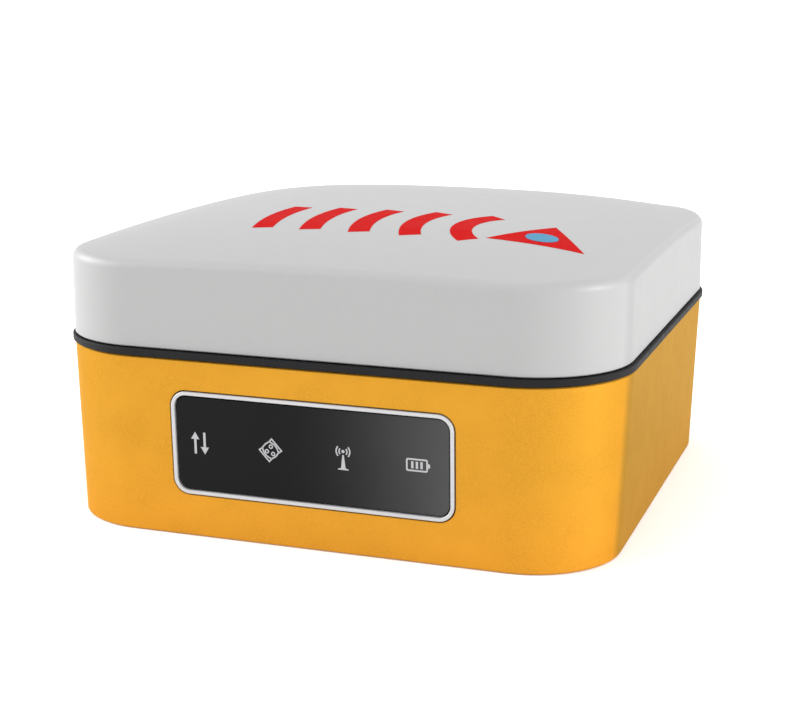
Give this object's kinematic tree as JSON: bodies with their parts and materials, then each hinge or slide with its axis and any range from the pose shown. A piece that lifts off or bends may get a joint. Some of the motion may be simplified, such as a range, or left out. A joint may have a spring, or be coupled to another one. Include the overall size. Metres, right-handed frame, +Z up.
{
  "type": "gnss receiver",
  "caption": "Square survey receiver with a domed white antenna cover, an orange lower housing, a dark seal and a front indicator panel, for a survey pole.",
  "frame": {"origin": "centre of the flat underside that the receiver stands on, which is also the axis of its pole thread", "axes": "+Z up through the antenna, -Y out of the indicator panel, +Y out of the battery door, -X out of the ports and power button"},
  "size_m": [0.1528, 0.1528, 0.0794],
  "materials": {
    "cover_white": "satin moulded radome plastic",
    "band_rubber": "matt moulded rubber",
    "housing_orange": "fine textured orange-yellow paint film",
    "panel_silver": "satin anodised",
    "panel_black": "gloss with printed light grey symbols",
    "light_guide_clear": "clear moulded acrylic",
    "circuit_board": "green solder mask",
    "led_body": "white moulded lamp body",
    "brass": "machined",
    "steel": "stainless",
    "nickel": "bright nickel plate",
    "plate_metal": "blank satin plate",
    "patch_ceramic": "fired ceramic with a silvered face",
    "black_plastic": "matt moulded plastic",
    "battery_plastic": "dark grey pack with a blank label",
    "black_rubber": "matt moulded rubber"
  },
  "bodies": {
    "root": {"top_cover": "cover_white", "sealing_band": "band_rubber", "door_gasket": "band_rubber", "lower_housing": "housing_orange", "panel_frame": "panel_silver", "panel_lens": "panel_black", "light_guide": "light_guide_clear", "indicator_board": "circuit_board", "main_board": "circuit_board", "button_board": "circuit_board", "antenna_ground_plane": "circuit_board", "indicator_led_1": "led_body", "indicator_led_2": "led_body", "indicator_led_3": "led_body", "indicator_led_4": "led_body", "pole_insert": "brass", "battery_contact_block": "brass", "antenna_standoff_1": "brass", "antenna_standoff_2": "brass", "antenna_standoff_3": "brass", "antenna_standoff_4": "brass", "housing_screw_1": "steel", "housing_screw_2": "steel", "housing_screw_3": "steel", "housing_screw_4": "steel", "door_hinge_pin": "steel", "latch_strike": "steel", "gnss_module": "nickel", "radio_module": "nickel", "amplifier_shield": "nickel", "antenna_jack": "nickel", "antenna_jack_nut": "nickel", "data_port": "nickel", "power_port": "nickel", "antenna_screw_1": "nickel", "antenna_screw_2": "nickel", "antenna_screw_3": "nickel", "antenna_screw_4": "nickel", "rating_plate": "plate_metal", "antenna_patch_lower": "patch_ceramic", "antenna_patch_upper": "patch_ceramic", "battery_bay": "black_plastic", "speaker": "black_plastic", "button_switch": "black_plastic", "antenna_lead": "black_plastic", "battery_pack": "battery_plastic"},
    "battery_door": {"battery_door": "housing_orange"},
    "door_latch": {"door_latch_knob": "black_plastic", "door_latch_cam": "steel"},
    "power_button": {"power_button": "black_rubber"},
    "data_port_cap": {"data_port_cap": "black_rubber"},
    "power_port_cap": {"power_port_cap": "black_rubber"}
  },
  "joints": [
    {"name": "battery_door_hinge", "type": "hinge", "parent": "root", "child": "battery_door", "pos_m": [-0.0444, 0.0736, 0.024], "axis": [0, 0, 1], "range_deg": [0, 105]},
    {"name": "door_latch_turn", "type": "hinge", "parent": "battery_door", "child": "door_latch", "pos_m": [0.0375, 0.0736, 0.024], "axis": [0, 1, 0], "range_deg": [0, 90]},
    {"name": "power_button_press", "type": "slide", "parent": "root", "child": "power_button", "axis": [1, 0, 0], "range_m": [0, 0.0008], "stiffness_N_per_m": 1200},
    {"name": "data_port_cap_pull", "type": "slide", "parent": "root", "child": "data_port_cap", "axis": [-1, 0, 0], "range_m": [0, 0.009]},
    {"name": "power_port_cap_pull", "type": "slide", "parent": "root", "child": "power_port_cap", "axis": [-1, 0, 0], "range_m": [0, 0.009]}
  ]
}
